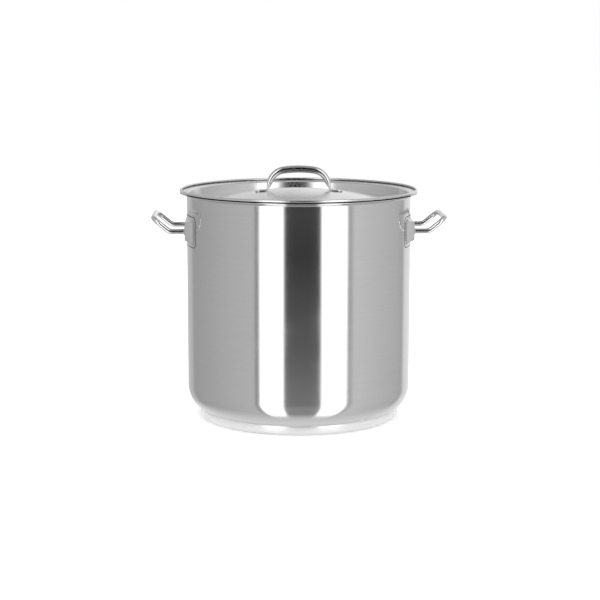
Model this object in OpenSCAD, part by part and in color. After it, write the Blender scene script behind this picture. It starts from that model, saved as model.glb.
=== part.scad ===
// Lidded stock pot: a straight cylindrical body with a flared rim and a sandwich base, two tubular
// loop handles on embossed plates, and a sunken domed lid with an arched handle.
// Millimetres, +Z up, origin at the centre of the base. The loop handles lie along +X and -X.

/* [Pot] */
// Inside diameter of the body
pot_inner_d = 360; // [300:1:480]
// Inside depth, from the floor to the top of the rim
pot_depth = 360; // [250:1:500]
// Thickness of the pot's sheet
pot_wall = 1.0; // [0.6:0.1:2]
// Inside radius where the wall turns into the floor
pot_corner_r = 44; // [30:1:60]
// How far the flared rim reaches out past the wall
rim_overhang = 12; // [8:0.5:16]
// Height of the flare
rim_rise = 4; // [3.5:0.5:8]

/* [Base] */
// Thickness of the aluminium core under the floor
core_t = 6.2; // [4:0.2:10]
// Thickness of the steel cap over the core
cap_t = 0.8; // [0.5:0.1:1.5]
// How far the top of the cap sits inside the pot's outer radius
cap_inset = 18; // [12:0.5:24]
// How much the side of the cap draws in towards the bottom
cap_taper = 1; // [0:0.5:3]
// Radius of the cap's bottom edge
cap_edge_r = 4; // [2:0.5:6]

/* [Loop handles] */
// Depth of the handle legs below the top of the rim
handle_drop = 60; // [48:1:150]
// Diameter of the bent handle tube
tube_d = 9; // [7:0.5:14]
// Distance between the two legs of a handle, centre to centre
leg_spacing = 100; // [80:1:110]
// Length of the level part of each leg, from the plate to the bend
leg_len = 24; // [18:1:40]
// Length of the sloping part, from the bend to the grip
slope_len = 33; // [26:1:60]
// Angle of the sloping part above level
slope_angle = 39.5; // [20:0.5:60]
// Bend radius between the level and the sloping part
leg_bend_r = 16; // [10:1:20]
// Bend radius between the sloping part and the grip
grip_bend_r = 14; // [10:1:18]
// Size of the weld bead round the end of each leg
leg_weld = 1.5; // [1:0.25:2]

/* [Handle plates] */
// Width of a plate across the pot
plate_w = 151; // [140:1:170]
// Height of a plate
plate_h = 50; // [42:1:60]
// Thickness of the plate's sheet
plate_t = 1.2; // [0.8:0.1:2]
// Corner radius of a plate
plate_corner_r = 8; // [4:1:12]
// How far the flat raised panel stands out past the pot's outer radius
panel_rise = 3; // [2.5:0.5:6]
// Room on the raised panel round each leg's weld bead
panel_margin = 0.5; // [0.5:0.25:3]
// Height of the flat part of the raised panel
panel_h = 28; // [24:1:32]
// Diameter of a spot weld mark on a plate
plate_spot_d = 5; // [3:0.5:6]
// Spacing of the spot welds up and down
plate_spot_spacing = 32; // [20:1:34]
// Distance of the spot welds in from the plate's side edges
plate_spot_inset = 5; // [4:0.5:6]

/* [Lid] */
// Thickness of the lid's sheet
lid_t = 0.8; // [0.6:0.1:1.2]
// Spherical radius of the dome
dome_r = 564; // [450:1:900]
// Height of the dome's top above the pot's rim
dome_rise = 3; // [0:0.5:15]
// Gap between the lid's flange and the edge of the flared rim that it rests on
lid_gap = 0.3; // [0.2:0.05:0.6]
// Rise of the lid's flange across the flare, less than the flare's own
lid_flange_rise = 1.5; // [0:0.25:3]
// Gap between the lid's sunken wall and the inside of the pot
lid_side_gap = 2; // [1:0.5:5]
// How far the sunken wall slopes in from top to bottom
lid_wall_slope = 4.5; // [3:0.5:10]
// Radius of the groove at the foot of the sunken wall
groove_r = 8; // [5:0.5:10]
// Diameter of the rolled bead round the lid's edge
bead_d = 4.4; // [3.6:0.2:6]

/* [Lid handle] */
// Length of the lid handle over its feet
arch_len = 141; // [120:1:160]
// Length over the arch's legs, centre to centre
arch_w = 100; // [80:1:110]
// Height of the arch's top above the top of the dome
arch_h = 38.5; // [28:0.5:50]
// Thickness of the handle at the top of the arch, up and down
arch_top_t = 11.5; // [8:0.5:16]
// Thickness at the foot of each leg
arch_leg_t = 7; // [4:0.5:8]
// Thickness of the flattened feet
foot_t = 2.2; // [1.5:0.1:3]
// Width of the handle at the top of the arch
arch_top_w = 13; // [9:0.5:18]
// Width of the flattened feet
foot_w = 20; // [14:1:26]
// Diameter of a spot weld mark on a foot
foot_spot_d = 4; // [3:0.5:5]
// Spacing of the two spot welds on a foot
foot_spot_spacing = 9; // [7:0.5:12]

/* [Hidden] */
$fn = 96;
tube_sides = 24;
eps = 0.01;

// Pot
inner_r = pot_inner_d / 2;
outer_r = inner_r + pot_wall;
outer_corner_r = pot_corner_r + pot_wall;
under_z = cap_t + core_t;
floor_z = under_z + pot_wall;
rim_z = floor_z + pot_depth;
flare_angle = atan2(rim_overhang, rim_rise);
flare_z = rim_z - pot_wall * sin(flare_angle) - rim_rise;
flare_foot = [inner_r, flare_z + pot_wall * tan(flare_angle / 2)];
flare_dir = [sin(flare_angle), cos(flare_angle)];
rim_r = outer_r + rim_overhang;
lip = [rim_r - pot_wall * cos(flare_angle), rim_z];

// Base
cap_r = outer_r - cap_inset;
cap_top_z = under_z + outer_corner_r - sqrt(pow(outer_corner_r, 2) - pow(cap_r - outer_r + outer_corner_r, 2));

// Handles and plates
handle_z = rim_z - handle_drop;
panel_x = outer_r + panel_rise;
bend_x = panel_x + leg_len;
panel_w = leg_spacing + tube_d + 2 * (leg_weld + panel_margin);
panel_depth = panel_x - sqrt(pow(outer_r, 2) - pow(plate_w / 2, 2));
panel_side_slope = 10;
panel_top_slope = 6;
plate_outer_r = outer_r + plate_t;
plate_spot_angle = asin((plate_w / 2 - plate_spot_inset) / plate_outer_r);
spot_t = 0.3;

// Lid
flange_angle = atan2(rim_overhang, lid_flange_rise);
flange_dir = [sin(flange_angle), cos(flange_angle)];
flange_up = [-cos(flange_angle), sin(flange_angle)];
lid_wall_r = inner_r - lid_side_gap;
dome_top_z = rim_z + dome_rise;
dome_centre_z = dome_top_z - dome_r;
under_r = dome_r - lid_t;
groove_out_r = groove_r + lid_t;
lid_edge_z = seat_z(lid_wall_r, lid_gap);
groove_reach = 1.2 * groove_out_r;
dome_edge_r = lid_wall_r - lid_wall_slope - groove_reach;
dome_edge_angle = asin(dome_edge_r / under_r);
dome_edge = [dome_edge_r, dome_centre_z + under_r * cos(dome_edge_angle)];
groove_centre = dome_edge + groove_out_r * [sin(dome_edge_angle), cos(dome_edge_angle)];
to_edge = [lid_wall_r, lid_edge_z] - groove_centre;
wall_angle = atan2(to_edge[1], to_edge[0]) - acos(groove_out_r / norm(to_edge));
bead_r = bead_d / 2;
bead_centre_r = rim_r + lid_gap - bead_r;
bead_centre = [bead_centre_r, seat_z(bead_centre_r, lid_gap + bead_r)];

// Lid handle
foot_len = (arch_len - arch_w) / 2 + arch_leg_t;
foot_r = (arch_len - foot_len) / 2;
foot_slope = asin(foot_r / dome_r);
foot_spot_r = (arch_len + arch_w + arch_leg_t) / 4;
foot_lift = 0.05;
arch_steps = 40;
arch_base_z = dome_centre_z + sqrt(pow(dome_r, 2) - pow(arch_w / 2, 2)) + foot_t;
arch_rise = dome_top_z + arch_h - arch_top_t / 2 - arch_base_z;

// Height at radius r of the line along the lid's flange that passes a distance above the rim's lip
function seat_z(r, above) = lip[1] + (r - lip[0]) * flange_dir[1] / flange_dir[0] + above / flange_up[1];

// Points along an arc. One that carries on from another arc starts at its second point
function arc(centre, r, from, to, n, first = 0) = [for (i = [first : n])
    centre + r * [cos(from + (to - from) * i / n), sin(from + (to - from) * i / n)]];

// A sheet's section: the line of its lower face, and the same line moved up by its thickness
function unit(v) = v / norm(v);
function left_of(v) = [-v[1], v[0]];
function sheet(line, t) = concat(line, [for (i = [len(line) - 1 : -1 : 0])
    let (a = unit(line[min(i + 1, len(line) - 1)] - line[min(i, len(line) - 2)]),
         b = unit(line[max(i, 1)] - line[max(i - 1, 0)]),
         n = left_of(unit(a + b)))
    line[i] + t / (n * left_of(a)) * n]);

// Points round the bend between two directions that meet at a corner
function bend(corner, from, to, r, n) =
    let (angle = acos(from * to), side = unit(to - (from * to) * from),
         centre = corner - r * tan(angle / 2) * from + r * side)
    [for (i = [0 : n]) centre + r * (sin(angle * i / n) * from - cos(angle * i / n) * side)];

// Rings of a round tube along a line of points that never runs along the direction given as above
function tube_rings(line, r, above) = [for (i = [0 : len(line) - 1])
    let (along = line[min(i + 1, len(line) - 1)] - line[max(i - 1, 0)],
         side = unit(cross(above, along)), up = unit(cross(along, side)))
    [for (j = [0 : tube_sides - 1]) let (q = 360 * j / tube_sides)
        line[i] + r * (cos(q) * side + sin(q) * up)]];

// Closed tube through rings of points
module skin(rings) {
    n = len(rings[0]);
    last = len(rings) - 1;
    sides = [for (i = [0 : last - 1]) for (j = [0 : n - 1])
        [i * n + j, (i + 1) * n + j, (i + 1) * n + (j + 1) % n, i * n + (j + 1) % n]];
    ends = [[for (j = [0 : n - 1]) j], [for (j = [n - 1 : -1 : 0]) last * n + j]];
    polyhedron([for (ring = rings) for (p = ring) p], concat(sides, ends), convexity = 8);
}

module rounded_rect(w, h, r) {
    square([w - 2 * r, h], center = true);
    square([w, h - 2 * r], center = true);
    for (x = [-1, 1]) for (y = [-1, 1])
        translate([x * (w / 2 - r), y * (h / 2 - r)]) circle(r);
}

// Half section of a cylinder whose bottom edge is rounded
module vessel_section(r, corner, bottom, top) {
    translate([0, bottom]) square([r - corner, top - bottom]);
    translate([0, bottom + corner]) square([r, top - bottom - corner]);
    intersection() {
        translate([r - corner, bottom + corner]) circle(corner);
        translate([0, bottom]) square([r, corner]);
    }
}

module left_side() {
    mirror([1, 0, 0]) children();
}

// ---- Pot ----

module pot_outline() {
    vessel_section(outer_r, outer_corner_r, under_z, rim_z);
}

module pot_shell() {
    flare_end = [outer_r, flare_z] + norm([rim_overhang, rim_rise]) * flare_dir;
    color("silver") rotate_extrude() {
        difference() {
            vessel_section(outer_r, outer_corner_r, under_z, flare_z);
            vessel_section(inner_r, pot_corner_r, floor_z, rim_z);
        }
        polygon([[inner_r, flare_z - pot_wall], [outer_r, flare_z - pot_wall], [outer_r, flare_z],
            flare_end, lip, flare_foot]);
    }
}

module cap_outline(inset) {
    edge_centre = [cap_r - cap_taper - cap_edge_r, cap_edge_r];
    difference() {
        polygon(concat([[0, inset]], arc(edge_centre, cap_edge_r - inset, 270, 360, 6),
            [[cap_r - inset, cap_top_z], [0, cap_top_z]]));
        pot_outline();
    }
}

module base_core() {
    color("gainsboro") rotate_extrude() cap_outline(cap_t);
}

module base_cap() {
    color("lightgray") rotate_extrude() difference() {
        cap_outline(0);
        cap_outline(cap_t);
    }
}

// ---- Loop handles, drawn on the +X side ----

module loop_handle() {
    slope_dir = [cos(slope_angle), 0, sin(slope_angle)];
    above = [-sin(slope_angle / 2), 0, cos(slope_angle / 2)];
    leg_end = [bend_x, leg_spacing / 2, handle_z];
    half = concat([[panel_x, leg_spacing / 2, handle_z]],
        bend(leg_end, [1, 0, 0], slope_dir, leg_bend_r, 8),
        bend(leg_end + slope_len * slope_dir, slope_dir, [0, -1, 0], grip_bend_r, 12));
    other_half = [for (i = [len(half) - 1 : -1 : 0]) [half[i][0], -half[i][1], half[i][2]]];
    color("whitesmoke") skin(tube_rings(concat(half, other_half), tube_d / 2, above));
}

// Fillet weld round the end of each leg
module handle_welds() {
    tube_r = tube_d / 2;
    color("silver") for (side = [-1, 1])
        translate([panel_x, side * leg_spacing / 2, handle_z]) rotate([0, 90, 0]) rotate_extrude()
            polygon([[tube_r, 0], [tube_r + leg_weld, 0], [tube_r, leg_weld]]);
}

// Raised panel of a plate as a solid, drawn in on every side by the sheet's thickness for its inside
module panel(inset) {
    hull() for (depth = [0, panel_depth])
        translate([panel_x - inset - depth - eps, 0, handle_z]) rotate([0, 90, 0])
            linear_extrude(eps) square([
                panel_h + 2 * (panel_top_slope * depth / panel_depth - inset),
                panel_w + 2 * (panel_side_slope * depth / panel_depth - inset)], center = true);
}

module handle_plate() {
    color("silver") difference() {
        intersection() {
            union() {
                translate([0, 0, handle_z - plate_h / 2]) cylinder(r = plate_outer_r, h = plate_h);
                panel(0);
            }
            translate([outer_r / 2, 0, handle_z]) rotate([90, 0, 90])
                linear_extrude(outer_r) rounded_rect(plate_w, plate_h, plate_corner_r);
        }
        panel(plate_t);
        translate([0, 0, handle_z - plate_h]) cylinder(r = outer_r, h = 2 * plate_h);
    }
}

module plate_spot_welds() {
    color("gray") intersection() {
        for (a = [-1, 1]) for (z = [-1, 1])
            translate([0, 0, handle_z + z * plate_spot_spacing / 2]) rotate([0, 90, a * plate_spot_angle])
                cylinder(d = plate_spot_d, h = 2 * outer_r);
        difference() {
            cylinder(r = plate_outer_r + spot_t, h = rim_z);
            translate([0, 0, -1]) cylinder(r = plate_outer_r, h = rim_z + 2);
        }
    }
}

// ---- Lid ----

module lid_pan() {
    under_line = concat(
        arc([0, dome_centre_z], under_r, 90, 90 - dome_edge_angle, 24),
        arc(groove_centre, groove_out_r, 270 - dome_edge_angle, 360 + wall_angle, 10, 1),
        [[lid_wall_r, lid_edge_z], [bead_centre_r, seat_z(bead_centre_r, lid_gap)]]);
    color("gainsboro") rotate_extrude() {
        intersection() {
            polygon(sheet(under_line, lid_t));
            translate([0, dome_centre_z]) square([2 * rim_r, 2 * dome_r]);
        }
        difference() {
            translate(bead_centre) circle(bead_r);
            translate(bead_centre) circle(bead_r - lid_t);
            polygon([bead_centre, bead_centre - bead_d * flange_dir,
                bead_centre + bead_r * (flange_up - flange_dir)]);
        }
    }
}

// ---- Lid handle ----

// Ring round the arch at angle a, 0 at one leg's foot and 180 at the other's
function arch_ring(a) = let (
        rise = sin(a),
        thick = arch_leg_t + (arch_top_t - arch_leg_t) * rise,
        wide = arch_top_w + (foot_w - arch_top_w) * pow(1 - rise, 3),
        middle = [arch_w / 2 * cos(a), arch_rise * rise],
        out = unit([arch_rise * cos(a), arch_w / 2 * rise]))
    [for (i = [0 : tube_sides - 1]) let (
            q = 360 * i / tube_sides,
            p = middle + thick / 2 * cos(q) * out)
        [p[0], wide / 2 * sin(q), arch_base_z + p[1]]];

// Places its children on the dome's upper face at a foot, with +Z along the dome's normal
module on_foot(side) {
    translate([0, 0, dome_centre_z]) rotate([0, side * foot_slope, 0]) translate([0, 0, dome_r])
        children();
}

module lid_handle() {
    color("silver") {
        skin([for (i = [0 : arch_steps]) arch_ring(180 * i / arch_steps)]);
        for (side = [-1, 1]) on_foot(side) translate([0, 0, foot_lift])
            linear_extrude(foot_t) rounded_rect(foot_len, foot_w, foot_w / 4);
    }
}

module lid_handle_spot_welds() {
    color("gray") for (side = [-1, 1]) on_foot(side) for (y = [-1, 1])
        translate([side * (foot_spot_r - foot_r), y * foot_spot_spacing / 2, foot_lift + foot_t])
            cylinder(d = foot_spot_d, h = spot_t);
}

pot_shell();
base_core();
base_cap();
handle_plate();  // right_handle_plate
left_side() handle_plate();  // left_handle_plate
plate_spot_welds();  // right_plate_spot_welds
left_side() plate_spot_welds();  // left_plate_spot_welds
loop_handle();  // right_loop_handle
left_side() loop_handle();  // left_loop_handle
handle_welds();  // right_handle_welds
left_side() handle_welds();  // left_handle_welds
lid_pan();
lid_handle();
lid_handle_spot_welds();
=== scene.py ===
import math

import bmesh
import bpy
from mathutils import Matrix, Vector


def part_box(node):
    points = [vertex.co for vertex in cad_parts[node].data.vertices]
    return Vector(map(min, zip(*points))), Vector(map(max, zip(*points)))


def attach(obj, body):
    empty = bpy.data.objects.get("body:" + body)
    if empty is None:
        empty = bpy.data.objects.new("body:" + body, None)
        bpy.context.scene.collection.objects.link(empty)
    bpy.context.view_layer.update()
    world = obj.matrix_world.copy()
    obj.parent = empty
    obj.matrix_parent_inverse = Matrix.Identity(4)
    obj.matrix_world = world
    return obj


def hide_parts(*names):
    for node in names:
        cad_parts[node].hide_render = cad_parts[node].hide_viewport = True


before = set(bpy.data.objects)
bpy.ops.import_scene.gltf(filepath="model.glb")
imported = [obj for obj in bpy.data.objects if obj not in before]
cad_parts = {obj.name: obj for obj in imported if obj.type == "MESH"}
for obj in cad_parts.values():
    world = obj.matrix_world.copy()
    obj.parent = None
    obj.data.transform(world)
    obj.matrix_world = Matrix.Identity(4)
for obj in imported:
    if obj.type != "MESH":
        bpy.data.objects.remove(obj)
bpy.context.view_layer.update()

mm = 0.001
origin = Vector((0, 0, 0))
xAxis, yAxis, zAxis = Vector((1, 0, 0)), Vector((0, 1, 0)), Vector((0, 0, 1))

# places that several pieces share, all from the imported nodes
shellLow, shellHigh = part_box("pot_shell")
plateLow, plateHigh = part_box("right_handle_plate")
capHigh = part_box("base_cap")[1]
rimRadius, rimZ = shellHigh.x, shellHigh.z
handleZ = (plateLow.z + plateHigh.z) / 2
plateWidth, plateHeight = plateHigh.y - plateLow.y, plateHigh.z - plateLow.z
faceRight = Matrix.Rotation(math.pi / 2, 4, "Y")    # turns what faces up to face along +X


def deselectAll():
    bpy.ops.object.select_all(action="DESELECT")


def pick(piece):
    deselectAll()
    piece.select_set(True)
    bpy.context.view_layer.objects.active = piece


def editOn(piece):
    pick(piece)
    bpy.ops.object.mode_set(mode="EDIT")
    bpy.ops.mesh.select_mode(type="VERT")


def editOff():
    bpy.ops.object.mode_set(mode="OBJECT")


def settle(piece, name):
    # places the piece's transform in its mesh and names it
    pick(piece)
    bpy.ops.object.transform_apply(location=True, rotation=True, scale=True)
    piece.name = name
    piece.data.name = name
    return piece


def added(name):
    return settle(bpy.context.object, name)


def selectWhere(piece, kind, rule):
    # selects the vertices, edges or faces of the piece in edit mode that the rule accepts
    bpy.ops.mesh.select_mode(type=kind)
    bpy.ops.mesh.select_all(action="DESELECT")
    mesh = bmesh.from_edit_mesh(piece.data)
    parts = {"VERT": mesh.verts, "EDGE": mesh.edges, "FACE": mesh.faces}[kind]
    for part in parts:
        if rule(part):
            part.select_set(True)
    mesh.select_flush_mode()
    bmesh.update_edit_mesh(piece.data)


def applyModifier(piece, kind, **settings):
    modifier = piece.modifiers.new(kind.title(), kind)
    for key, value in settings.items():
        setattr(modifier, key, value)
    pick(piece)
    bpy.ops.object.modifier_apply(modifier=modifier.name)


def roundEdges(piece, width, segments, degrees):
    # rounds the edges that turn by more than the angle
    applyModifier(piece, "BEVEL", width=width, segments=segments, limit_method="ANGLE",
                  angle_limit=math.radians(degrees))


def smooth(piece, degrees=35):
    pick(piece)
    bpy.ops.object.shade_smooth_by_angle(angle=math.radians(degrees))


def faceOutwards():
    bpy.ops.mesh.select_all(action="SELECT")
    bpy.ops.mesh.remove_doubles(threshold=0.00001)
    bpy.ops.mesh.normals_make_consistent(inside=False)


def arcPoints(centre, radius, fromAngle, toAngle, count, first=0):
    # angles in degrees, in the section plane of radius and height
    points = []
    for step in range(first, count + 1):
        angle = math.radians(fromAngle + (toAngle - fromAngle) * step / count)
        points.append((centre[0] + radius * math.cos(angle), centre[1] + radius * math.sin(angle)))
    return points


def filletPoints(before, corner, after, radius, count):
    # round stretch that takes the place of a corner in a section line
    before, corner, after = Vector(before), Vector(corner), Vector(after)
    inward, outward = (before - corner).normalized(), (after - corner).normalized()
    half = inward.angle(outward) / 2
    centre = corner + (inward + outward).normalized() * radius / math.sin(half)
    start = corner + inward * radius / math.tan(half) - centre
    turn = start.angle_signed(corner + outward * radius / math.tan(half) - centre)
    points = []
    for step in range(count + 1):
        arm = start.copy()
        arm.rotate(Matrix.Rotation(-turn * step / count, 2))
        points.append(tuple(centre + arm))
    return points


def turnLine(name, line, steps):
    # draws a section line of radius and height, vertex by vertex, and spins it round the pot's axis
    deselectAll()
    bpy.ops.mesh.primitive_plane_add(size=mm, location=(line[0][0], 0, line[0][1]))
    piece = added(name)
    editOn(piece)
    bpy.ops.mesh.merge(type="CENTER")
    for here, there in zip(line, line[1:]):
        bpy.ops.mesh.extrude_region_move(
            TRANSFORM_OT_translate={"value": (there[0] - here[0], 0, there[1] - here[1])})
    bpy.ops.mesh.select_all(action="SELECT")
    bpy.ops.mesh.spin(steps=steps, angle=2 * math.pi, center=origin, axis=zAxis)
    faceOutwards()
    editOff()
    return piece


def bendPipe(name, radius, sides, start, heading, moves):
    # draws a pipe from its end ring: each move is a straight length, or a bend by an angle about an axis
    deselectAll()
    turn = heading.to_track_quat("Z", "Y").to_euler()
    bpy.ops.mesh.primitive_circle_add(vertices=sides, radius=radius, location=start, rotation=turn)
    piece = added(name)
    editOn(piece)
    bpy.ops.mesh.select_all(action="SELECT")
    place, heading = start.copy(), heading.copy()
    for move in moves:
        if "straight" in move:
            step = heading * move["straight"]
            bpy.ops.mesh.extrude_region_move(TRANSFORM_OT_translate={"value": step})
            place += step
        else:
            axis, angle = move["axis"], math.radians(move["bend"])
            centre = place + axis.cross(heading).normalized() * move["radius"]
            # spin counts its angle clockwise
            bpy.ops.mesh.spin(steps=move["steps"], angle=-angle, center=centre, axis=axis)
            spun = Matrix.Rotation(angle, 3, axis)
            place = centre + spun @ (place - centre)
            heading = spun @ heading
    faceOutwards()
    editOff()
    return piece


def otherSide(piece, name):
    # a copy for the left side of the pot: the same piece turned half round the axis
    pick(piece)
    bpy.ops.object.duplicate(linked=False)
    twin = bpy.context.object
    twin.rotation_euler = (0, 0, math.pi)
    return settle(twin, name)


def joined(pieces, name):
    deselectAll()
    for piece in pieces:
        piece.select_set(True)
    bpy.context.view_layer.objects.active = pieces[0]
    bpy.ops.object.join()
    return settle(pieces[0], name)


def copyTo(piece, matrix):
    twin = piece.copy()
    twin.data = piece.data.copy()
    bpy.context.collection.objects.link(twin)
    twin.matrix_world = matrix
    return settle(twin, piece.name)


def capEnds(tube):
    # closes the open rings at a tube's two ends
    selectWhere(tube, "EDGE", lambda edge: edge.is_boundary)
    bpy.ops.mesh.edge_face_add()
    faceOutwards()


def hand(piece, body, slot, *nodes):
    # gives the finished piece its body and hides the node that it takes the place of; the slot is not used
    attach(piece, body)
    if nodes:
        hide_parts(*nodes)
    return piece


pot = {
    "wall": 1.0 * mm,
    "cornerRadius": 45 * mm,    # outside, where the wall turns into the floor
    "cornerSteps": 24,
    "wallParts": 4,
    "flareOut": 12 * mm,
    "flareUp": 4 * mm,
    "flareFillet": 2.5 * mm,
    "flareSteps": 14,
    "rimRound": 0.35 * mm,
    "steps": 256,
}
bodyRadius = rimRadius - pot["flareOut"]
flareAngle = math.atan2(pot["flareOut"], pot["flareUp"])
flareUp = Vector((-math.cos(flareAngle), math.sin(flareAngle)))


def makePotShell():
    wall, corner = pot["wall"], pot["cornerRadius"]
    rimEdge = Vector((rimRadius, rimZ - wall * flareUp.y))
    flareFoot = (bodyRadius, rimEdge.y - pot["flareUp"])
    floorEdge = (bodyRadius - corner, shellLow.z + corner)
    wallPart = (flareFoot[1] - floorEdge[1]) / pot["wallParts"]
    line = [(0, shellLow.z), (floorEdge[0] / 2, shellLow.z)]
    line += arcPoints(floorEdge, corner, 270, 360, pot["cornerSteps"])
    line += [(bodyRadius, floorEdge[1] + wallPart * part) for part in range(1, pot["wallParts"])]
    line += filletPoints(line[-1], flareFoot, rimEdge, pot["flareFillet"], pot["flareSteps"])
    line += [tuple(rimEdge)]
    shell = turnLine("potShell", line, pot["steps"])
    applyModifier(shell, "SOLIDIFY", thickness=wall, offset=-1, use_even_offset=True)
    roundEdges(shell, pot["rimRound"], segments=3, degrees=50)
    smooth(shell)
    return hand(shell, "pot", "satin_body_steel", "pot_shell")


cap = {
    "sheet": 0.8 * mm,
    "taper": 1.0 * mm,
    "edgeRadius": 4 * mm,
    "edgeSteps": 10,
    "kneeShare": 0.7,           # of the height, where the side turns steeper
    "topRound": 0.25 * mm,
    "steps": 256,
}


def makeBaseCap():
    radius, edge, taper = capHigh.x, cap["edgeRadius"], cap["taper"]
    line = [(0, 0), (radius / 3, 0), (radius * 2 / 3, 0)]
    line += arcPoints((radius - taper - edge, edge), edge, 270, 360, cap["edgeSteps"])
    line += [(radius - taper / 3, capHigh.z * cap["kneeShare"]), (radius, capHigh.z)]
    base = turnLine("baseCap", line, cap["steps"])
    applyModifier(base, "SOLIDIFY", thickness=cap["sheet"], offset=-1, use_even_offset=True)
    roundEdges(base, cap["topRound"], segments=2, degrees=50)
    smooth(base)
    return hand(base, "pot", "bright_base_steel", "base_cap")


# handle plate: a pressed sheet wrapped on the body, with a raised flat panel
plate = {
    "sheet": 1.2 * mm,
    "cornerRadius": 8 * mm,
    "cornerSteps": 8,
    "footWidth": 128 * mm,      # of the raised panel where it leaves the flange
    "footHeight": 37 * mm,
    "panelWidth": 113 * mm,     # of the flat part of the raised panel
    "panelHeight": 28 * mm,
    "strips": 44,
    "creaseRound": 1.6 * mm,
    "creaseSteps": 4,
    "edgeRound": 0.3 * mm,
    "paintedShadeBorder": 1.3 * mm,  # dark strip along the edge: painted shade for the shadow line under the plate's edge
}
panelX = plateHigh.x
plateRadius = bodyRadius + plate["sheet"]


def cutPlate():
    # the flat sheet with round corners, the panel's two outlines marked as seams, and strips to bend it by
    deselectAll()
    middle = Vector((panelX, 0, handleZ))
    bpy.ops.mesh.primitive_plane_add(size=1, location=middle, rotation=(0, math.pi / 2, 0))
    bpy.context.object.scale = (plateHeight, plateWidth, 1)
    sheet = added("rightHandlePlate")
    editOn(sheet)
    bpy.ops.mesh.select_all(action="SELECT")
    bpy.ops.mesh.bevel(affect="VERTICES", offset=plate["cornerRadius"], segments=plate["cornerSteps"],
                       profile=0.5)
    here = (plateWidth, plateHeight)
    for there in ((plate["footWidth"], plate["footHeight"]), (plate["panelWidth"], plate["panelHeight"])):
        # the face inside all outlines so far is the middle one with many corners
        selectWhere(sheet, "FACE",
                    lambda face: abs(face.calc_center_median().y) < mm and len(face.verts) > 12)
        bpy.ops.mesh.inset(thickness=0.01 * mm)
        bpy.ops.transform.resize(value=(1, there[0] / here[0], there[1] / here[1]), center_override=middle)
        bpy.ops.mesh.region_to_loop()
        bpy.ops.mesh.mark_seam(clear=False)
        here = there
    for strip in range(1, plate["strips"]):
        bpy.ops.mesh.select_mode(type="VERT")
        bpy.ops.mesh.select_all(action="SELECT")
        y = plateWidth * (strip / plate["strips"] - 0.5)
        bpy.ops.mesh.bisect(plane_co=(0, y, 0), plane_no=yAxis)
    bpy.ops.mesh.select_all(action="SELECT")
    bpy.ops.mesh.remove_doubles(threshold=0.2 * mm)
    editOff()
    return sheet


def wrapPlate(sheet):
    # the flange lies on the body, the panel stays flat, and the slopes between them go part of the way
    deselectAll()
    bpy.ops.mesh.primitive_cylinder_add(vertices=512, radius=plateRadius, depth=2 * plateHeight,
                                        location=(0, 0, handleZ))
    form = added("plateForm")
    onBody = sheet.vertex_groups.new(name="onBody")
    for vert in sheet.data.vertices:
        slopes = []
        for past, flat, foot in ((abs(vert.co.y), plate["panelWidth"], plate["footWidth"]),
                                 (abs(vert.co.z - handleZ), plate["panelHeight"], plate["footHeight"])):
            slopes.append((past - flat / 2) / (foot / 2 - flat / 2))
        onBody.add([vert.index], min(1, max(0, *slopes)), "REPLACE")
    applyModifier(sheet, "SHRINKWRAP", target=form, vertex_group=onBody.name, wrap_method="PROJECT",
                  use_project_x=True, use_positive_direction=False, use_negative_direction=True)
    bpy.data.objects.remove(form)


def creasePlate(sheet):
    editOn(sheet)
    selectWhere(sheet, "EDGE", lambda edge: edge.seam)
    bpy.ops.mesh.bevel(offset=plate["creaseRound"], segments=plate["creaseSteps"], profile=0.5,
                       clamp_overlap=True)
    bpy.ops.mesh.select_all(action="SELECT")
    bpy.ops.mesh.mark_seam(clear=True)
    faceOutwards()
    editOff()


def markBorder(sheet):
    # gives the strip along the sheet's edge, which is painted shade for the shadow line under that edge, the
    # second of two slots
    for slot in range(2):
        sheet.data.materials.append(None)
    editOn(sheet)
    bpy.ops.mesh.select_all(action="SELECT")
    bpy.ops.mesh.inset(thickness=plate["paintedShadeBorder"], use_boundary=True, use_select_inset=True)
    sheet.active_material_index = 1
    bpy.ops.object.material_slot_assign()
    editOff()


def makePlates():
    sheet = cutPlate()
    wrapPlate(sheet)
    creasePlate(sheet)
    markBorder(sheet)
    applyModifier(sheet, "SOLIDIFY", thickness=plate["sheet"], offset=-1)
    roundEdges(sheet, plate["edgeRound"], segments=2, degrees=60)
    # the border faces carry the painted shade strip
    print("painted edge shade faces:", sum(face.material_index for face in sheet.data.polygons))
    smooth(sheet, 30)
    hand(sheet, "pot", "satin_plate_steel", "right_handle_plate")
    return sheet, hand(otherSide(sheet, "leftHandlePlate"), "pot", "satin_plate_steel", "left_handle_plate")


plateSpot = {
    "radius": 2.5 * mm,
    "inFromEnd": 5 * mm,
    "spacing": 32 * mm,
    "lip": 0.16 * mm,           # height of the raised ring round the dent
    "dent": 0.12 * mm,
}


def makeSpot(name, mark):
    # one spot weld mark: a low ring with a shallow dent inside, at the origin and facing +Z
    lip, dent = mark["lip"], mark["dent"]
    deselectAll()
    bpy.ops.mesh.primitive_circle_add(vertices=32, radius=mark["radius"], fill_type="NGON",
                                      location=(0, 0, -lip))
    spot = added(name)
    editOn(spot)
    bpy.ops.mesh.select_all(action="SELECT")
    # each ring is narrower than the last by the share, and above it by the rise
    rings = [(0.12, 1.7 * lip), (0.16, 0.3 * lip), (0.2, -0.5 * dent), (0.22, -0.5 * dent),
             (0.15, 0.1 * dent)]
    for share, rise in rings:
        bpy.ops.mesh.extrude_region_move(TRANSFORM_OT_translate={"value": (0, 0, rise)})
        bpy.ops.transform.resize(value=(1 - share,) * 3)
    bpy.ops.mesh.select_all(action="SELECT")
    bpy.ops.mesh.normals_make_consistent(inside=False)
    editOff()
    applyModifier(spot, "SUBSURF", levels=1, render_levels=1)
    smooth(spot, 60)
    return spot


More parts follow.
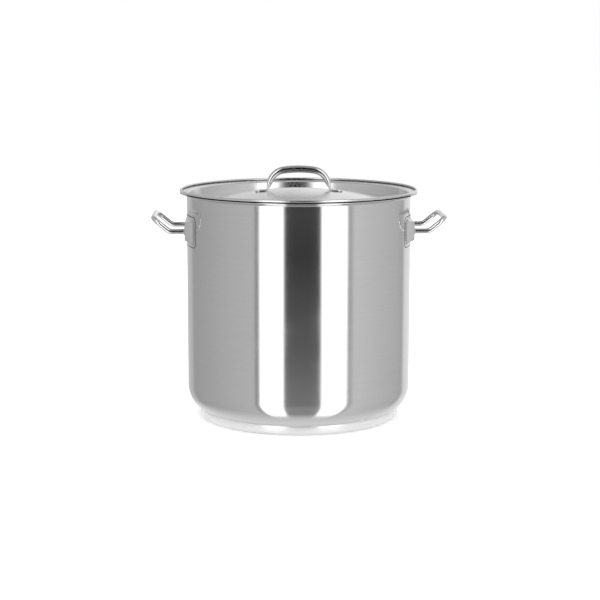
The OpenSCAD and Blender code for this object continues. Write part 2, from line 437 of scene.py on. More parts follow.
def makePlateSpots():
    angle = math.asin((plateWidth / 2 - plateSpot["inFromEnd"]) / plateRadius)
    spot = makeSpot("plateSpot", plateSpot)
    marks = []
    for side in (-1, 1):
        for up in (-1, 1):
            out = Matrix.Translation((plateRadius, 0, handleZ + up * plateSpot["spacing"] / 2))
            marks.append(copyTo(spot, Matrix.Rotation(side * angle, 4, "Z") @ out @ faceRight))
    bpy.data.objects.remove(spot)
    right = hand(joined(marks, "rightPlateSpots"), "pot", "weld_steel", "right_plate_spot_welds")
    return right, hand(otherSide(right, "leftPlateSpots"), "pot", "weld_steel", "left_plate_spot_welds")


# loop handle: one tube bent from leg to leg
loop = {
    "tubeRadius": 4.5 * mm,
    "legSpacing": 100 * mm,
    "legLength": 24 * mm,
    "slopeLength": 33 * mm,
    "slopeAngle": 39.5,
    "legBendRadius": 16 * mm,
    "legBendSteps": 10,
    "gripBendRadius": 14 * mm,
    "gripBendSteps": 16,
    "sides": 40,
}


def makeLoops():
    angle, up = loop["slopeAngle"], -yAxis
    legTrim = loop["legBendRadius"] * math.tan(math.radians(angle) / 2)
    slopeUp = Matrix.Rotation(math.radians(angle), 3, up) @ zAxis
    level = {"straight": loop["legLength"] - legTrim}
    slope = {"straight": loop["slopeLength"] - legTrim - loop["gripBendRadius"]}
    rise = {"bend": angle, "axis": up, "radius": loop["legBendRadius"], "steps": loop["legBendSteps"]}
    corner = {"bend": 90, "axis": slopeUp, "radius": loop["gripBendRadius"], "steps": loop["gripBendSteps"]}
    grip = {"straight": loop["legSpacing"] - 2 * loop["gripBendRadius"]}
    fall = dict(rise, axis=yAxis)
    start = Vector((panelX, -loop["legSpacing"] / 2, handleZ))
    tube = bendPipe("rightLoopHandle", loop["tubeRadius"], loop["sides"], start, xAxis,
                    [level, rise, slope, corner, grip, corner, slope, fall, level])
    editOn(tube)
    capEnds(tube)
    editOff()
    smooth(tube)
    hand(tube, "pot", "polished_handle_steel", "right_loop_handle")
    return tube, hand(otherSide(tube, "leftLoopHandle"), "pot", "polished_handle_steel", "left_loop_handle")


legWeld = {
    "width": 1.5 * mm,          # how far the bead reaches along the plate and along the leg
    "sunk": 0.4 * mm,           # how far its inner edge goes into the leg
    "buried": 0.3 * mm,         # and its outer edge into the plate
    "ripples": 22,
    "rippleDepth": 0.22 * mm,
    "rippleSides": 0.55,        # height of the spokes beside a ripple's middle, as a share
}
spokesPerRipple = 4


def onRipple(vert, part, spokes):
    # is the vertex on the bead's round face, on the spoke that has this part in its ripple?
    spoke = round(math.atan2(vert.co.y, vert.co.x) / (2 * math.pi) * spokes)
    away = math.hypot(vert.co.x, vert.co.y) - loop["tubeRadius"]
    return spoke % spokesPerRipple == part and 0 < away < legWeld["width"] * 0.95


def makeLegWelds():
    # a fillet section spun round the leg, with three spokes of every four swollen into a ripple
    reach, tube = legWeld["width"], loop["tubeRadius"]
    spokes = legWeld["ripples"] * spokesPerRipple
    section = [(tube - legWeld["sunk"], reach * 0.9), (tube + reach * 0.25, reach * 0.82),
               (tube + reach * 0.62, reach * 0.6), (tube + reach * 0.88, reach * 0.28),
               (tube + reach, -legWeld["buried"])]
    bead = turnLine("legWeld", section, spokes)
    editOn(bead)
    for part, swell in ((0, 1), (1, legWeld["rippleSides"]), (3, legWeld["rippleSides"])):
        selectWhere(bead, "VERT", lambda vert: onRipple(vert, part, spokes))
        bpy.ops.transform.shrink_fatten(value=-swell * legWeld["rippleDepth"])
    editOff()
    applyModifier(bead, "SUBSURF", levels=1, render_levels=1)
    smooth(bead, 60)
    welds = []
    for side in (-1, 1):
        foot = Matrix.Translation((panelX, side * loop["legSpacing"] / 2, handleZ))
        welds.append(copyTo(bead, foot @ faceRight))
    bpy.data.objects.remove(bead)
    right = hand(joined(welds, "rightLegWelds"), "pot", "weld_steel", "right_handle_welds")
    return right, hand(otherSide(right, "leftLegWelds"), "pot", "weld_steel", "left_handle_welds")


# lid: one turned sheet, from the dome through the groove, the wall and the flange to the rolled bead
lid = {
    "sheet": 0.8 * mm,
    "domeRadius": 564 * mm,
    "domeSteps": 40,
    "domeRise": 3 * mm,         # of the dome's top above the rim
    "seatGap": 0.3 * mm,
    "flangeRise": 1.5 * mm,     # across the flare
    "sideGap": 2 * mm,
    "wallSlope": 4.5 * mm,
    "grooveRadius": 8.4 * mm,
    "grooveSteps": 14,
    "grooveShare": 1.2,         # of the groove's radius, between the dome's edge and the wall's foot
    "wallFillet": 3 * mm,
    "wallSteps": 8,
    "beadRadius": 2.2 * mm,
    "beadTurn": 262,
    "beadSteps": 22,
    "steps": 256,
}
domeTop = rimZ + lid["domeRise"]
domeCentre = domeTop - lid["domeRadius"]
flangeAngle = math.atan2(pot["flareOut"], lid["flangeRise"])


def seatHeight(radius, above):
    # height of the line along the flange that passes a distance above the rim's lip
    lipRadius = rimRadius + pot["wall"] * flareUp.x
    return rimZ + (radius - lipRadius) / math.tan(flangeAngle) + above / math.sin(flangeAngle)


def makeLidPan():
    sheet, groove, bead = lid["sheet"], lid["grooveRadius"], lid["beadRadius"]
    mid = sheet / 2
    domeRadius = lid["domeRadius"] - mid
    wallTop = bodyRadius - pot["wall"] - lid["sideGap"] - mid
    wallFoot = wallTop - lid["wallSlope"]
    domeEdge = math.degrees(math.asin((wallFoot - lid["grooveShare"] * groove) / domeRadius))
    line = arcPoints((0, domeCentre), domeRadius, 90, 90 - domeEdge, lid["domeSteps"])
    lean = Vector((math.sin(math.radians(domeEdge)), math.cos(math.radians(domeEdge))))
    grooveCentre = Vector(line[-1]) + groove * lean
    wallEnd = Vector((wallTop, seatHeight(wallTop, lid["seatGap"] + mid)))
    toEnd = wallEnd - grooveCentre
    wallAngle = math.degrees(math.atan2(toEnd.y, toEnd.x) - math.acos(groove / toEnd.length))
    line += arcPoints(grooveCentre, groove, 270 - domeEdge, 360 + wallAngle, lid["grooveSteps"], 1)
    beadX = rimRadius + lid["seatGap"] - bead
    beadCentre = (beadX, seatHeight(beadX, lid["seatGap"] + bead))
    curlStart = -math.degrees(flangeAngle)
    curl = arcPoints(beadCentre, bead - mid, curlStart, curlStart + lid["beadTurn"], lid["beadSteps"])
    line += filletPoints(line[-1], wallEnd, curl[0], lid["wallFillet"], lid["wallSteps"])
    line += curl
    pan = turnLine("lidPan", line, lid["steps"])
    applyModifier(pan, "SOLIDIFY", thickness=sheet, offset=0, use_even_offset=True)
    smooth(pan)
    return hand(pan, "lid", "satin_lid_steel", "lid_pan")


arch = {
    "footEnd": 70.5 * mm,       # from the axis
    "legFoot": 51.6 * mm,
    "legAngle": 70,
    "shoulderRadius": 27 * mm,
    "shoulderEnd": 8,           # slope in degrees where the shoulder passes into the crown
    "top": 38.5 * mm,           # of the crown above the dome
    "footThick": 2.2 * mm,
    "footWide": 20 * mm,
    "tipShare": 0.55,           # width of the foot's very end, as a share
    "tipLength": 0.28,          # share of the foot over which its end widens
    "elbowThick": 3.6 * mm,
    "elbowWide": 18 * mm,
    "legThick": 9 * mm,
    "legWide": 15 * mm,
    "legReached": 0.14,         # share of the way up where the leg has its full section
    "crownThick": 12 * mm,
    "crownWide": 13 * mm,
    "crownReached": 0.72,       # and where the crown has its own
    "footBendRadius": 4.5 * mm,
    "lift": 0.08 * mm,
    "endRound": 0.5 * mm,
    "sides": 40,
}
footStops = (0, 0.03, 0.08, 0.16, 0.28, 0.5, 0.75)    # shares of the foot, closer where its end widens
elbowSteps, legSteps, shoulderSteps, crownSteps = 8, 4, 12, 10


def domeHeight(radius):
    return domeCentre + math.sqrt(lid["domeRadius"] ** 2 - radius ** 2)


def between(first, second, share):
    return first + (second - first) * share


def archLine():
    # half of the middle line: the foot's end, the elbow's places, and the places from there to the crown
    half = arch["footThick"] / 2 + arch["lift"]
    crownZ = domeTop + arch["top"] - arch["crownThick"] / 2
    legFoot = Vector((arch["legFoot"], domeHeight(arch["legFoot"]) + half))
    footEnd = Vector((arch["footEnd"], domeHeight(arch["footEnd"]) + half))
    leg, shoulder = math.radians(arch["legAngle"]), math.radians(arch["shoulderEnd"])
    radius = arch["shoulderRadius"]
    # the leg's length and the crown's radius close the line on the axis at the crown's height
    run = legFoot.x - radius * (math.sin(leg) - math.sin(shoulder))
    rise = crownZ - legFoot.y - radius * (math.cos(shoulder) - math.cos(leg))
    crown = math.tan(shoulder / 2)
    legLength = (rise - run * crown) / (math.sin(leg) - math.cos(leg) * crown)
    crownRadius = (run - legLength * math.cos(leg)) / math.sin(shoulder)
    legTop = legFoot + legLength * Vector((-math.cos(leg), math.sin(leg)))
    elbow = filletPoints(footEnd, legFoot, legTop, arch["footBendRadius"], elbowSteps)
    elbow = [Vector(place) for place in elbow]
    upper = [elbow[-1].lerp(legTop, part / legSteps) for part in range(1, legSteps + 1)]
    shoulderCentre = legTop + radius * Vector((-math.sin(leg), -math.cos(leg)))
    for step in range(1, shoulderSteps + 1):
        angle = between(leg, shoulder, step / shoulderSteps)
        upper.append(shoulderCentre + radius * Vector((math.sin(angle), math.cos(angle))))
    crownCentre = Vector((0, crownZ - crownRadius))
    for step in range(1, crownSteps + 1):
        angle = shoulder * (1 - step / crownSteps)
        upper.append(crownCentre + crownRadius * Vector((math.sin(angle), math.cos(angle))))
    return footEnd, elbow, upper


def archStops():
    # the stops of the whole arch from one foot's end to the other's, as (place, how thick, how wide)
    footEnd, elbow, upper = archLine()
    stops = []
    for part in footStops:
        widening = min(1, math.sqrt(part / arch["tipLength"]))
        stops.append((footEnd.lerp(elbow[0], part), arch["footThick"],
                      arch["footWide"] * between(arch["tipShare"], 1, widening)))
    for step, place in enumerate(elbow):
        share = step / elbowSteps
        stops.append((place, between(arch["footThick"], arch["elbowThick"], share),
                      between(arch["footWide"], arch["elbowWide"], share)))
    lengths = [0]
    for here, there in zip([elbow[-1]] + upper, upper):
        lengths.append(lengths[-1] + (there - here).length)
    for place, length in zip(upper, lengths[1:]):
        way = length / lengths[-1]
        early = min(1, way / arch["legReached"])
        late = min(1, way / arch["crownReached"])
        late = late * late * (3 - 2 * late)
        thick = between(arch["elbowThick"], arch["legThick"], early)
        thick += (arch["crownThick"] - arch["legThick"]) * late
        wide = between(arch["elbowWide"], arch["legWide"], early)
        wide += (arch["crownWide"] - arch["legWide"]) * late
        stops.append((place, thick, wide))
    otherHalf = [(Vector((-place.x, place.y)), thick, wide) for place, thick, wide in reversed(stops[:-1])]
    return stops + otherHalf


def spreadRing(tube, distance):
    # moves the two halves of the selected ring apart, which makes it oval
    mesh = bmesh.from_edit_mesh(tube.data)
    ring = [vert for vert in mesh.verts if vert.select]
    for side in (-1, 1):
        for vert in ring:
            vert.select_set(vert.co.y * side > 0)
        bpy.ops.transform.translate(value=(0, side * distance, 0))
    for vert in ring:
        vert.select_set(True)
    mesh.select_flush(True)


def makeArch():
    # one ring of the tube is drawn at the foot's end and carried along, turned and reshaped at every stop
    stops = archStops()
    places = [Vector((place.x, 0, place.y)) for place, thick, wide in stops]
    last = len(places) - 1
    headings = [(places[min(i + 1, last)] - places[max(i - 1, 0)]).normalized() for i in range(last + 1)]
    thick = stops[0][1]
    spread = 0
    start = headings[0].to_track_quat("Z", "Y")
    deselectAll()
    bpy.ops.mesh.primitive_circle_add(vertices=arch["sides"], radius=thick / 2, location=places[0],
                                      rotation=start.to_euler())
    tube = added("lidHandle")
    editOn(tube)
    bpy.ops.mesh.select_all(action="SELECT")
    # half a side's turn, so that no vertex lies on the line that parts the ring's halves
    bpy.ops.transform.rotate(value=math.pi / arch["sides"], orient_axis="Z", orient_type="GLOBAL",
                             orient_matrix=start.to_matrix(), orient_matrix_type="GLOBAL",
                             center_override=places[0])
    for stop, place in enumerate(places):
        if stop:
            bpy.ops.mesh.extrude_region_move(TRANSFORM_OT_translate={"value": place - places[stop - 1]})
            swing = headings[stop - 1].cross(headings[stop]).y
            bpy.ops.transform.rotate(value=-math.asin(swing), orient_axis="Y", center_override=place)
            factor = stops[stop][1] / thick
            bpy.ops.transform.resize(value=(factor,) * 3, center_override=place)
            thick, spread = stops[stop][1], spread * factor
        wanted = (stops[stop][2] - thick) / 2
        spreadRing(tube, wanted - spread)
        spread = wanted
    capEnds(tube)
    editOff()
    roundEdges(tube, arch["endRound"], segments=3, degrees=60)
    smooth(tube, 50)
    return hand(tube, "lid", "polished_handle_steel", "lid_handle")


archSpot = {
    "radius": 2.0 * mm,
    "fromAxis": 61.75 * mm,
    "spacing": 9 * mm,
    "lip": 0.12 * mm,
    "dent": 0.16 * mm,
}


def makeArchSpots():
    spot = makeSpot("archSpot", archSpot)
    slope = math.asin(archSpot["fromAxis"] / lid["domeRadius"])
    above = lid["domeRadius"] + arch["lift"] + arch["footThick"]
    marks = []
    for side in (-1, 1):
        for across in (-1, 1):
            lean = Matrix.Translation((0, 0, domeCentre)) @ Matrix.Rotation(side * slope, 4, "Y")
            out = Matrix.Translation((0, across * archSpot["spacing"] / 2, above))
            marks.append(copyTo(spot, lean @ out))
    bpy.data.objects.remove(spot)
    return hand(joined(marks, "lidHandleSpots"), "lid", "weld_steel", "lid_handle_spot_welds")


def tell(stage, piece):
    print(stage + ":", len(piece.data.vertices), "vertices")


shell = makePotShell()
tell("pot shell turned", shell)
baseCap = makeBaseCap()
tell("base cap turned", baseCap)
plates = makePlates()
tell("handle plates pressed", plates[0])
plateSpots = makePlateSpots()
tell("plates spot-welded", plateSpots[0])
loops = makeLoops()
tell("loop handles bent", loops[0])
legWelds = makeLegWelds()
tell("loop handles welded", legWelds[0])
lidPan = makeLidPan()
tell("lid turned", lidPan)
lidHandle = makeArch()
tell("lid handle shaped", lidHandle)
archSpots = makeArchSpots()
tell("lid handle welded", archSpots)


def addNode(tree, kind, inputs=None, **settings):
    # a node with its settings, and its inputs either set or linked
    made = tree.nodes.new(kind)
    for key, value in settings.items():
        setattr(made, key, value)
    for key, value in (inputs or {}).items():
        if isinstance(value, bpy.types.NodeSocket):
            tree.links.new(value, made.inputs[key])
        else:
            made.inputs[key].default_value = value
    return made


def newGroup(name, inputs, outputs):
    tree = bpy.data.node_groups.new(name, "ShaderNodeTree")
    for label, kind, value in inputs:
        socket = tree.interface.new_socket(name=label, in_out="INPUT", socket_type=kind)
        if value is not None:
            socket.default_value = value
    for label in outputs:
        tree.interface.new_socket(name=label, in_out="OUTPUT", socket_type="NodeSocketFloat")
    return tree, addNode(tree, "NodeGroupInput"), addNode(tree, "NodeGroupOutput")


def calc(tree, operation, first, second=0.0, third=0.0):
    return addNode(tree, "ShaderNodeMath", {0: first, 1: second, 2: third}, operation=operation).outputs[0]


def ranged(tree, value, start, end, low=0.0, high=1.0, **settings):
    made = addNode(tree, "ShaderNodeMapRange", {
        "Value": value, "From Min": start, "From Max": end, "To Min": low, "To Max": high}, **settings)
    return made.outputs[0]


def mixedColours(tree, factor, first, second):
    made = addNode(tree, "ShaderNodeMix", {"Factor": factor, 6: first, 7: second}, data_type="RGBA")
    return made.outputs[2]


def mixedValues(tree, factor, first, second):
    made = addNode(tree, "ShaderNodeMix", {0: factor, 2: first, 3: second}, data_type="FLOAT")
    return made.outputs[0]


def noise(tree, place, scale, **inputs):
    values = {"Vector": place, "Scale": scale}
    values.update({key.title(): value for key, value in inputs.items()})
    return addNode(tree, "ShaderNodeTexNoise", values).outputs["Fac"]


turnedLook = {
    "slant": 1.37,              # keeps the lines of a flat apart from those of a wall
    "fineDetail": 3.0,
    "streakDetail": 2.0,
    "fineShare": 0.4,           # of the tone, and the rest is streaks
    "axisRadius": 0.001,        # least radius that a place is divided by
}


def makeTurnedGrain():
    # fine lines that run round the pot's axis, on walls and flats alike
    tree, source, result = newGroup("turnedGrain", [
        ("Vector", "NodeSocketVector", None),
        ("Lines", "NodeSocketFloat", 900.0),
        ("Length", "NodeSocketFloat", 3.0),
        ("Streaks", "NodeSocketFloat", 60.0)], ["Height", "Tone"])
    parts = addNode(tree, "ShaderNodeSeparateXYZ", {0: source.outputs["Vector"]})
    x, y, z = parts.outputs
    squares = calc(tree, "ADD", calc(tree, "MULTIPLY", x, x), calc(tree, "MULTIPLY", y, y))
    radius = calc(tree, "SQRT", squares)
    safe = calc(tree, "MAXIMUM", radius, turnedLook["axisRadius"])
    across = calc(tree, "ADD", z, calc(tree, "MULTIPLY", radius, turnedLook["slant"]))
    length = source.outputs["Length"]
    turned = [calc(tree, "MULTIPLY", calc(tree, "DIVIDE", part, safe), length) for part in (x, y)]
    noises = []
    for scale, detail in (("Lines", turnedLook["fineDetail"]), ("Streaks", turnedLook["streakDetail"])):
        place = addNode(tree, "ShaderNodeCombineXYZ", {
            0: turned[0], 1: turned[1], 2: calc(tree, "MULTIPLY", across, source.outputs[scale])})
        noises.append(noise(tree, place.outputs[0], 1.0, detail=detail, roughness=0.6))
    fine, streaks = noises
    tone = calc(tree, "ADD", calc(tree, "MULTIPLY", fine, turnedLook["fineShare"]),
                calc(tree, "MULTIPLY", streaks, 1 - turnedLook["fineShare"]))
    tree.links.new(fine, result.inputs["Height"])
    tree.links.new(tone, result.inputs["Tone"])
    return tree


handlingLook = {
    "smudgeDetail": 4.0,
    "smudgeRoughness": 0.55,
    "smudgeDistortion": 0.8,
    "smudgeLevels": (0.42, 0.72),   # noise values between which a smudge comes up
    "scratchStretch": (1.0, 1.3, 0.35),
    "scratchWidth": 0.012,
    "gapScale": 23.0,
    "gapLevel": 0.6,                # a scratch shows only where the noise is above this
}


def makeHandling():
    # soft smudges from wiping and a few hair scratches
    tree, source, result = newGroup("handling", [
        ("Vector", "NodeSocketVector", None),
        ("Smudge Size", "NodeSocketFloat", 9.0),
        ("Scratch Size", "NodeSocketFloat", 40.0)], ["Smudge", "Scratch"])
    place = source.outputs["Vector"]
    cloud = noise(tree, place, source.outputs["Smudge Size"], detail=handlingLook["smudgeDetail"],
                  roughness=handlingLook["smudgeRoughness"], distortion=handlingLook["smudgeDistortion"])
    smudge = ranged(tree, cloud, *handlingLook["smudgeLevels"], interpolation_type="SMOOTHSTEP")
    stretched = addNode(tree, "ShaderNodeVectorMath", {0: place, 1: handlingLook["scratchStretch"]},
                        operation="MULTIPLY").outputs[0]
    cells = addNode(tree, "ShaderNodeTexVoronoi", {
        "Vector": stretched, "Scale": source.outputs["Scratch Size"], "Randomness": 1.0},
        feature="DISTANCE_TO_EDGE").outputs["Distance"]
    line = ranged(tree, cells, 0.0, handlingLook["scratchWidth"], 1.0, 0.0)
    patches = noise(tree, place, handlingLook["gapScale"], detail=1.0)
    kept = calc(tree, "GREATER_THAN", patches, handlingLook["gapLevel"])
    tree.links.new(smudge, result.inputs["Smudge"])
    tree.links.new(calc(tree, "MULTIPLY", line, kept), result.inputs["Scratch"])
    return tree


turnedGrain, handling = makeTurnedGrain(), makeHandling()
print("shader groups built")


steelLook = {
    "toneLevels": (0.3, 0.7),   # noise values that give a finish's dark and light colours
    "smudgeShade": 0.94,        # of the dark colour, where a smudge lies
    "smudgeRough": 0.03,        # added to the roughness there
    "scratchDepth": 0.4,        # of the grain's height
}
usualFinish = {    # what a finish has unless it says otherwise
    "metallic": 1.0, "anisotropic": 0.0, "turn": 0.0, "smudge": 0.25, "smudgeSize": 9.0, "scratch": 0.05}


def steel(name, finish):
    # steel with grain in its colour, its roughness and a fine bump
    look = {**usualFinish, **finish}
    material = bpy.data.materials.new(name)
    material.use_nodes = True
    tree = material.node_tree
    tree.nodes.clear()
    place = addNode(tree, "ShaderNodeTexCoord").outputs["Object"]
    if "straight" in look:
        stretched = addNode(tree, "ShaderNodeMapping", {"Vector": place, "Scale": look["straight"]})
        height = tone = noise(tree, stretched.outputs[0], 1.0, detail=3.0, roughness=0.6)
    else:
        grain = addNode(tree, "ShaderNodeGroup", node_tree=turnedGrain)
        tree.links.new(place, grain.inputs["Vector"])
        for label, key in (("Lines", "lines"), ("Length", "length"), ("Streaks", "streaks")):
            grain.inputs[label].default_value = look[key]
        height, tone = grain.outputs["Height"], grain.outputs["Tone"]
    marks = addNode(tree, "ShaderNodeGroup", node_tree=handling)
    tree.links.new(place, marks.inputs["Vector"])
    marks.inputs["Smudge Size"].default_value = look["smudgeSize"]
    toneRange = ranged(tree, tone, *steelLook["toneLevels"])
    colour = mixedColours(tree, toneRange, look["dark"] + (1,), look["light"] + (1,))
    dull = tuple(part * steelLook["smudgeShade"] for part in look["dark"]) + (1,)
    smudgeShare = calc(tree, "MULTIPLY", marks.outputs["Smudge"], look["smudge"])
    smudged = mixedColours(tree, smudgeShare, colour, dull)
    rough = calc(tree, "MULTIPLY_ADD", toneRange, look["roughSpread"], look["rough"])
    rough = calc(tree, "MULTIPLY_ADD", marks.outputs["Smudge"], steelLook["smudgeRough"], rough)
    rough = calc(tree, "MULTIPLY_ADD", marks.outputs["Scratch"], look["scratch"], rough)
    scratched = calc(tree, "SUBTRACT", height, calc(tree, "MULTIPLY", marks.outputs["Scratch"],
                                                    steelLook["scratchDepth"]))
    bump = addNode(tree, "ShaderNodeBump", {
        "Height": scratched, "Strength": look["bump"], "Distance": look["bumpDepth"]}).outputs[0]
    shader = addNode(tree, "ShaderNodeBsdfPrincipled", {
        "Base Color": smudged, "Roughness": rough, "Normal": bump, "Metallic": look["metallic"],
        "Anisotropic": look["anisotropic"], "Anisotropic Rotation": look["turn"]})
    if look["anisotropic"]:
        around = addNode(tree, "ShaderNodeTangent", direction_type="RADIAL", axis="Z").outputs[0]
        tree.links.new(around, shader.inputs["Tangent"])
    output = addNode(tree, "ShaderNodeOutputMaterial")
    tree.links.new(shader.outputs[0], output.inputs["Surface"])
    return material


finishes = {
    "satinBody": {
        "dark": (0.635, 0.635, 0.635), "light": (0.66, 0.66, 0.66),
        "lines": 2500.0, "length": 2.6, "streaks": 350.0,
        "rough": 0.12, "roughSpread": 0.015, "bump": 0.02, "bumpDepth": 0.0001,
        "anisotropic": 0.5, "turn": 0.25},
    "brightCap": {
        "dark": (0.70, 0.70, 0.70), "light": (0.78, 0.78, 0.78),
        "lines": 2200.0, "length": 2.0, "streaks": 300.0,
        "rough": 0.24, "roughSpread": 0.03, "bump": 0.0, "bumpDepth": 0.0001,
        "metallic": 0.6, "scratch": 0.0},
    "satinLid": {
        "dark": (0.66, 0.66, 0.66), "light": (0.73, 0.73, 0.73),
        "lines": 1700.0, "length": 2.2, "streaks": 160.0,
        "rough": 0.22, "roughSpread": 0.04, "bump": 0.03, "bumpDepth": 0.0002,
        "anisotropic": 0.5, "turn": 0.25},
    "pressedPlate": {
        "dark": (0.60, 0.60, 0.60), "light": (0.67, 0.67, 0.67), "straight": (300.0, 60.0, 1900.0),
        "rough": 0.15, "roughSpread": 0.06, "bump": 0.05, "bumpDepth": 0.0002,
        "smudge": 0.5, "smudgeSize": 45.0},
    # painted shade: near-black steel for the strip along the plate's edge, standing in for the shadow line
    # under it
    "paintedEdgeShade": {
        "dark": (0.04, 0.04, 0.04), "light": (0.09, 0.09, 0.09), "straight": (700.0, 700.0, 700.0),
        "rough": 0.4, "roughSpread": 0.1, "bump": 0.1, "bumpDepth": 0.0002},
    "loopTube": {
        "dark": (0.72, 0.72, 0.72), "light": (0.78, 0.78, 0.78), "straight": (500.0, 500.0, 500.0),
        "rough": 0.16, "roughSpread": 0.04, "bump": 0.03, "bumpDepth": 0.0001, "smudge": 0.3},
    "archTube": {
        "dark": (0.66, 0.66, 0.66), "light": (0.72, 0.72, 0.72), "straight": (500.0, 500.0, 500.0),
        "rough": 0.13, "roughSpread": 0.04, "bump": 0.03, "bumpDepth": 0.0001, "smudge": 0.3},
    "weldSteel": {
        "dark": (0.45, 0.44, 0.43), "light": (0.60, 0.59, 0.58), "straight": (900.0, 900.0, 900.0),
        "rough": 0.24, "roughSpread": 0.12, "bump": 0.15, "bumpDepth": 0.0002},
    "plainCore": {
        "dark": (0.74, 0.75, 0.76), "light": (0.82, 0.83, 0.84),
        "lines": 600.0, "length": 2.0, "streaks": 90.0,
        "rough": 0.34, "roughSpread": 0.1, "bump": 0.1, "bumpDepth": 0.0002},
}
materials = {name: steel(name, finish) for name, finish in finishes.items()}


def coat(finish, *pieces, slot=0):
    # sets the finish in the slot, which a piece with a single finish doesn't have yet
    for piece in pieces:
        if len(piece.data.materials) <= slot:
            piece.data.materials.append(materials[finish])
        piece.data.materials[slot] = materials[finish]


coat("satinBody", shell)
coat("brightCap", baseCap)
coat("pressedPlate", *plates)
# the strip along the plates' edge gets the painted shade
coat("paintedEdgeShade", *plates, slot=1)
coat("loopTube", *loops)
coat("archTube", lidHandle)
coat("weldSteel", archSpots, *plateSpots, *legWelds)
coat("satinLid", lidPan)
coat("plainCore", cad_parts["base_core"])
print("steel finishes on")


camera = {
    "distance": 2.63,
    "height": 0.625,
    "azimuth": -1.9,            # degrees round the pot from straight in front
    "pitch": -9.43,
    "yaw": 0.05,
    "roll": 0.08,
    "lens": 97.4,
    "sensor": 36.0,
}
studio = {
    # brightness of the studio round the pot: degrees right of the camera's direction, as the steel sees it
    "walls": [(-180, 0.86), (-166, 0.66), (-143, 0.60), (-138, 0.45), (-75, 0.6), (-46, 0.65), (-43.5, 0.26),
              (-41, 0.30), (-39, 2.2), (-16, 2.2), (-14, 0.0), (22, 0.0), (24, 2.2), (49, 2.2), (51.5, 0.34),
              (54.5, 0.5), (58, 0.78), (120, 0.6), (134, 0.52), (140, 0.9), (180, 0.96)],
    # the heights are of the direction that the steel looks in, from -1 straight down to 1 straight up
    "lowLift": (0.0, 0.34),     # least brightness just under the horizon and near the floor
    "lowHeights": (-0.12, -0.3),
    "floor": 0.6,
    "floorHeights": (-0.68, -0.98),
    "ceiling": 0.4,
    "ceilingHeights": (0.72, 0.9),
    "soft": 1.9,                # even light that falls on dull surfaces
    "backdrop": 1.0,            # as the camera sees it
    "paintedFloorGlow": 0.9,           # painted light: glow of the floor beside the pot, as the steel sees it
    "paintedFloorGlowEnds": (0.165, 0.215),    # how far from the axis it starts to fade and is gone
}


def makeWorld():
    world = bpy.data.worlds.new("studio")
    bpy.context.scene.world = world
    world.cycles.sampling_method = "NONE"    # so that light on dull surfaces is told from reflections
    world.use_nodes = True
    tree = world.node_tree
    tree.nodes.clear()
    direction = addNode(tree, "ShaderNodeTexCoord").outputs["Generated"]
    x, y, z = addNode(tree, "ShaderNodeSeparateXYZ", {0: direction}).outputs
    angle = calc(tree, "ARCTAN2", x, calc(tree, "MULTIPLY", y, -1.0))
    share = calc(tree, "ADD", calc(tree, "DIVIDE", angle, 2 * math.pi), 0.5 - camera["azimuth"] / 360)
    ramp = addNode(tree, "ShaderNodeValToRGB", {0: calc(tree, "FRACT", share)})
    band = ramp.color_ramp
    for stop, (turn, bright) in enumerate(studio["walls"]):
        position = (turn + 180) / 360
        mark = band.elements[stop] if stop < 2 else band.elements.new(position)
        mark.position = position
        mark.color = (bright, bright, bright, 1)
    low = ranged(tree, z, *studio["lowHeights"], *studio["lowLift"])
    walls = calc(tree, "MAXIMUM", ramp.outputs["Color"], low)
    down = ranged(tree, z, *studio["floorHeights"], interpolation_type="SMOOTHSTEP")
    up = ranged(tree, z, *studio["ceilingHeights"], interpolation_type="SMOOTHSTEP")
    ray = addNode(tree, "ShaderNodeLightPath").outputs
    seen = mixedValues(tree, down, walls, studio["floor"])
    seen = mixedValues(tree, up, seen, studio["ceiling"])
    seen = mixedValues(tree, ray["Is Diffuse Ray"], seen, studio["soft"])
    seen = mixedValues(tree, ray["Is Camera Ray"], seen, studio["backdrop"])
    background = addNode(tree, "ShaderNodeBackground", {"Color": (1, 1, 1, 1), "Strength": seen})
    output = addNode(tree, "ShaderNodeOutputWorld")
    tree.links.new(background.outputs[0], output.inputs["Surface"])


paleFloor = {
    "radius": 4,
    "below": 0.2 * mm,          # the pot's underside
    "dark": (0.93, 0.93, 0.93, 1),
    "light": (0.96, 0.96, 0.96, 1),
    "mottle": 3.0,
    "rough": 0.9,
}


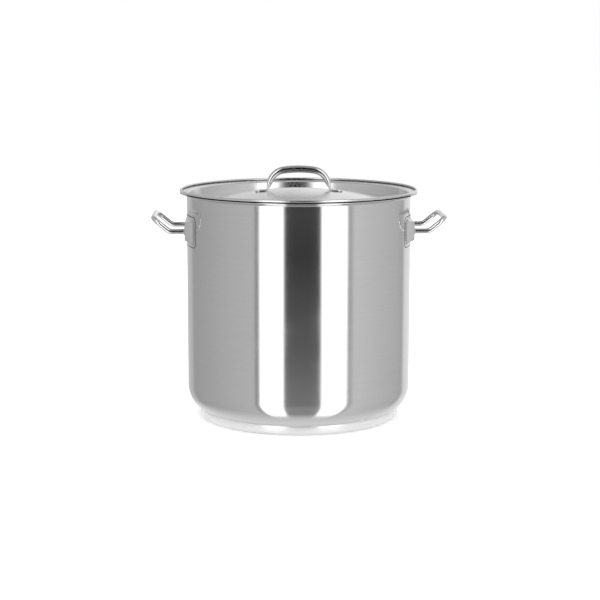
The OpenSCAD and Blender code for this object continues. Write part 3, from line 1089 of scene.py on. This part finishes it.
def makeFloor():
    deselectAll()
    bpy.ops.mesh.primitive_circle_add(vertices=96, radius=paleFloor["radius"], fill_type="NGON",
                                      location=(0, 0, -paleFloor["below"]))
    floor = added("floor")
    material = bpy.data.materials.new("paleFloor")
    material.use_nodes = True
    tree = material.node_tree
    place = addNode(tree, "ShaderNodeTexCoord").outputs["Object"]
    mottle = noise(tree, place, paleFloor["mottle"])
    colour = mixedColours(tree, mottle, paleFloor["dark"], paleFloor["light"])
    shader = tree.nodes["Principled BSDF"]
    tree.links.new(colour, shader.inputs["Base Color"])
    shader.inputs["Roughness"].default_value = paleFloor["rough"]
    # in reflections the floor glows with painted light beside the pot and fades into the studio further out
    away = addNode(tree, "ShaderNodeVectorMath", {0: place}, operation="LENGTH").outputs["Value"]
    near = ranged(tree, away, *studio["paintedFloorGlowEnds"], 1.0, 0.0, interpolation_type="SMOOTHSTEP")
    glow = addNode(tree, "ShaderNodeEmission", {"Strength": studio["paintedFloorGlow"]})
    clear = addNode(tree, "ShaderNodeBsdfTransparent")
    reflected = addNode(tree, "ShaderNodeMixShader", {0: near, 1: clear.outputs[0], 2: glow.outputs[0]})
    seenBySteel = addNode(tree, "ShaderNodeLightPath").outputs["Is Glossy Ray"]
    either = addNode(tree, "ShaderNodeMixShader", {
        0: seenBySteel, 1: shader.outputs[0], 2: reflected.outputs[0]})
    tree.links.new(either.outputs[0], tree.nodes["Material Output"].inputs["Surface"])
    floor.data.materials.append(material)


def turnedBy(degrees, axis):
    return Matrix.Rotation(math.radians(degrees), 4, axis)


def makeCamera():
    data = bpy.data.cameras.new("camera")
    data.lens, data.sensor_width = camera["lens"], camera["sensor"]
    eye = bpy.data.objects.new("camera", data)
    bpy.context.collection.objects.link(eye)
    place = turnedBy(camera["azimuth"], "Z") @ Matrix.Translation((0, -camera["distance"], camera["height"]))
    aim = turnedBy(-camera["yaw"], "Z") @ turnedBy(90 + camera["pitch"], "X") @ turnedBy(camera["roll"], "Z")
    eye.matrix_world = place @ aim
    bpy.context.scene.camera = eye


makeWorld()
makeFloor()
makeCamera()
bpy.context.scene.view_settings.view_transform = "Standard"
print("studio ready")
